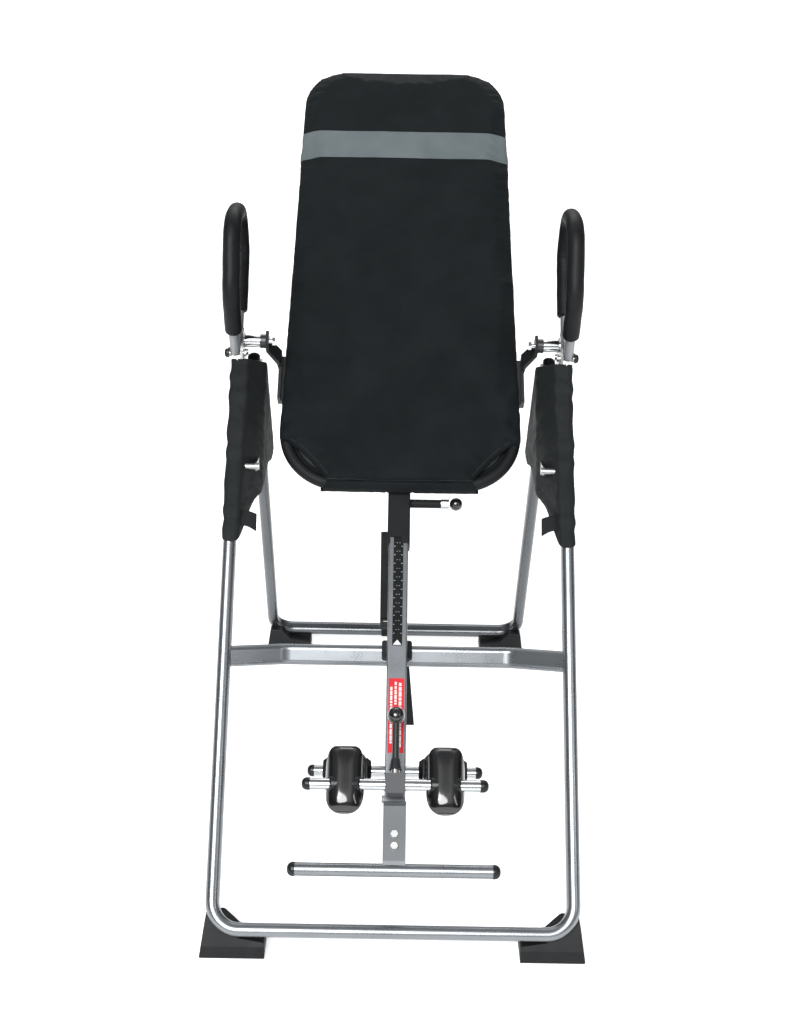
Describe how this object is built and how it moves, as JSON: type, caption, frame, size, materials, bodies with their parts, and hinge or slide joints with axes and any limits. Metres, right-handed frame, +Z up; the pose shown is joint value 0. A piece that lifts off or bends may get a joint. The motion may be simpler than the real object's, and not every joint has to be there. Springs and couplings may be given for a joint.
{
  "type": "inversion table",
  "caption": "Folding inversion table: A-frame with reclined padded bed on two pivots, foam handles, sliding boom with ankle cups, foot bar and tether strap",
  "frame": {"origin": "on the floor, at the middle of the object's box", "axes": "+Z up, +Y from the foot bar towards the bed's head, +X to the right of a person facing the bed"},
  "size_m": [0.704, 1.3615, 1.4015],
  "materials": {
    "silver_tube": "silver powder coat",
    "black_steel": "black powder coat",
    "zinc": "bright zinc plate",
    "chrome": "polished chrome",
    "rubber": "matt moulded rubber",
    "foam": "closed-cell foam",
    "handle_steel": "grey powder coat",
    "nylon_cover": "black woven nylon",
    "grey_band": "plain grey printed band",
    "board": "black board",
    "black_plastic": "moulded",
    "gloss_black": "glossy moulded",
    "scale": "black scale with plain ticks",
    "label": "red label with plain bars",
    "webbing": "woven webbing"
  },
  "bodies": {
    "front_frame": {"front_frame_tube": "silver_tube", "crossbar": "silver_tube", "crossbar_bumper": "rubber", "front_foot_left": "rubber", "front_foot_right": "rubber", "pivot_plates": "zinc", "handle_bolts": "zinc", "dome_caps": "black_plastic", "handle_tubes": "handle_steel", "handle_grip_left": "foam", "handle_grip_right": "foam", "leg_cover_left": "nylon_cover", "leg_cover_right": "nylon_cover", "frame_bolts": "zinc", "strap_upper": "webbing", "strap_lower": "webbing", "strap_buckle": "black_plastic", "strap_tail": "webbing"},
    "rear_frame": {"rear_frame_tube": "silver_tube", "rear_feet": "rubber", "rear_brace_bolts": "zinc", "strap_loop": "webbing", "strap_rear": "webbing"},
    "front_braces": {"front_brace_links": "zinc"},
    "rear_braces": {"rear_brace_links": "zinc"},
    "table": {"bed_tube": "black_steel", "bed_cross_tubes": "black_steel", "back_board": "board", "pad": "nylon_cover", "band": "grey_band", "pivot_arms": "black_steel", "pivot_rollers": "chrome", "height_sleeve": "black_steel", "sleeve_bushings": "black_plastic", "pin_barrel": "black_steel", "pin_collar": "chrome"},
    "height_pin": {"height_pin": "zinc", "height_pin_ball": "gloss_black"},
    "boom": {"boom_tube": "silver_tube", "boom_plugs": "black_plastic", "scale_strip": "scale", "boom_sticker": "label", "foot_bracket": "silver_tube", "foot_bracket_bolts": "zinc", "foot_bar": "silver_tube", "foot_bar_caps": "black_plastic", "rear_rod": "chrome", "rear_rod_caps": "black_plastic", "rear_rod_bracket": "black_steel"},
    "ankle_slider": {"slider_shaft": "zinc", "slider_block": "zinc", "front_rod": "chrome", "front_rod_caps": "black_plastic", "lever_guide": "zinc"},
    "ankle_lock": {"lock_lever": "black_steel", "lock_ball": "gloss_black"},
    "front_cup_left": {"front_cup_left": "gloss_black"},
    "front_cup_right": {"front_cup_right": "gloss_black"},
    "rear_cup_left": {"rear_cup_left": "gloss_black"},
    "rear_cup_right": {"rear_cup_right": "gloss_black"}
  },
  "joints": [
    {"name": "table_rotation", "type": "hinge", "parent": "front_frame", "child": "table", "pos_m": [0, 0.04621, 0.93373], "axis": [-1, 0, 0], "range_deg": [0, 115]},
    {"name": "rear_fold", "type": "hinge", "parent": "front_frame", "child": "rear_frame", "pos_m": [0, 0.06055, 0.88497], "axis": [-1, 0, 0], "range_deg": [0, 45]},
    {"name": "front_brace_turn", "type": "hinge", "parent": "front_frame", "child": "front_braces", "pos_m": [0, -0.11719, 0.72868], "axis": [1, 0, 0], "range_deg": [0, 42]},
    {"name": "rear_brace_turn", "type": "hinge", "parent": "rear_frame", "child": "rear_braces", "pos_m": [0, 0.16717, 0.68005], "axis": [-1, 0, 0], "range_deg": [0, 42]},
    {"name": "height_pin_pull", "type": "slide", "parent": "table", "child": "height_pin", "axis": [1, 0, 0], "range_m": [0, 0.012], "stiffness_N_per_m": 300},
    {"name": "boom_slide", "type": "slide", "parent": "table", "child": "boom", "axis": [0, -0.7431, -0.6691], "range_m": [-0.12, 0.1]},
    {"name": "ankle_slide", "type": "slide", "parent": "boom", "child": "ankle_slider", "axis": [0, -0.6691, 0.7431], "range_m": [-0.025, 0.03]},
    {"name": "ankle_lock_pull", "type": "slide", "parent": "ankle_slider", "child": "ankle_lock", "axis": [0, 0.7431, 0.6691], "range_m": [0, 0.008], "stiffness_N_per_m": 400},
    {"name": "front_cup_left_tilt", "type": "hinge", "parent": "ankle_slider", "child": "front_cup_left", "pos_m": [-0.09, -0.56411, 0.29942], "axis": [1, 0, 0], "range_deg": [-15, 15]},
    {"name": "rear_cup_left_tilt", "type": "hinge", "parent": "boom", "child": "rear_cup_left", "pos_m": [-0.09, -0.43477, 0.24095], "axis": [1, 0, 0], "range_deg": [-12, 12]},
    {"name": "front_cup_right_tilt", "type": "hinge", "parent": "ankle_slider", "child": "front_cup_right", "pos_m": [0.09, -0.56411, 0.29942], "axis": [1, 0, 0], "range_deg": [-15, 15]},
    {"name": "rear_cup_right_tilt", "type": "hinge", "parent": "boom", "child": "rear_cup_right", "pos_m": [0.09, -0.43477, 0.24095], "axis": [1, 0, 0], "range_deg": [-12, 12]}
  ],
  "couplings": [
    {"joint": "front_brace_turn", "follows": "rear_fold", "ratio": 0.925},
    {"joint": "rear_brace_turn", "follows": "rear_fold", "ratio": 0.925}
  ]
}
